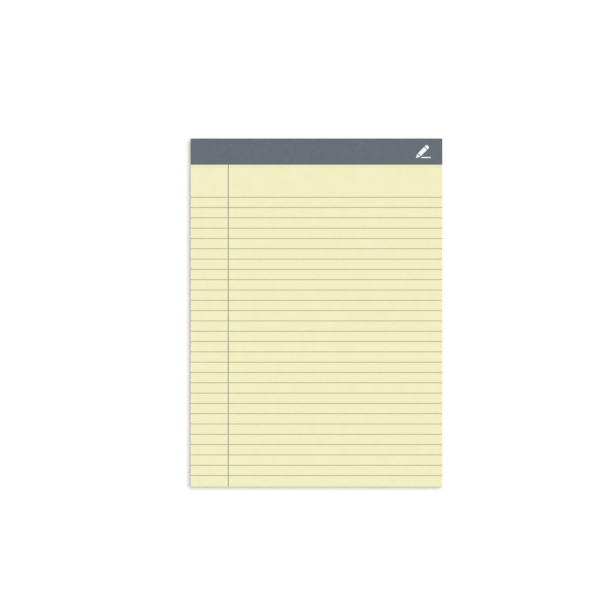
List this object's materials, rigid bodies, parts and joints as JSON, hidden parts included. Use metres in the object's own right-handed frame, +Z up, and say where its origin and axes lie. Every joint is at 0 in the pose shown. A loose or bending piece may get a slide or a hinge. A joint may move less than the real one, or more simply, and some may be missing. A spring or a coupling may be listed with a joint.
{
  "type": "legal pad",
  "caption": "Canary writing pad, ruled with a left margin line, bound at the head under a dark folded tape, on a chipboard back.",
  "frame": {"origin": "middle of the footprint on the table, under the pad lying face up", "axes": "+X right as the pad is read, +Y towards the bound head, +Z up out of the writing face"},
  "size_m": [0.216, 0.2986, 0.0055],
  "materials": {
    "canary_paper": "matt uncoated writing paper, dyed canary",
    "chipboard": "matt recycled chipboard",
    "header_paper": "smooth dark grey binding paper",
    "stitch_wire": "galvanised stitching wire",
    "ruling_ink": "matt ruling ink",
    "header_print": "opaque white printing ink on the header tape"
  },
  "bodies": {
    "root": {"pages": "canary_paper", "backing_board": "chipboard", "header_tape": "header_paper", "staple_1": "stitch_wire", "staple_2": "stitch_wire", "staple_3": "stitch_wire", "staple_4": "stitch_wire", "ruling": "ruling_ink"}
  },
  "joints": []
}
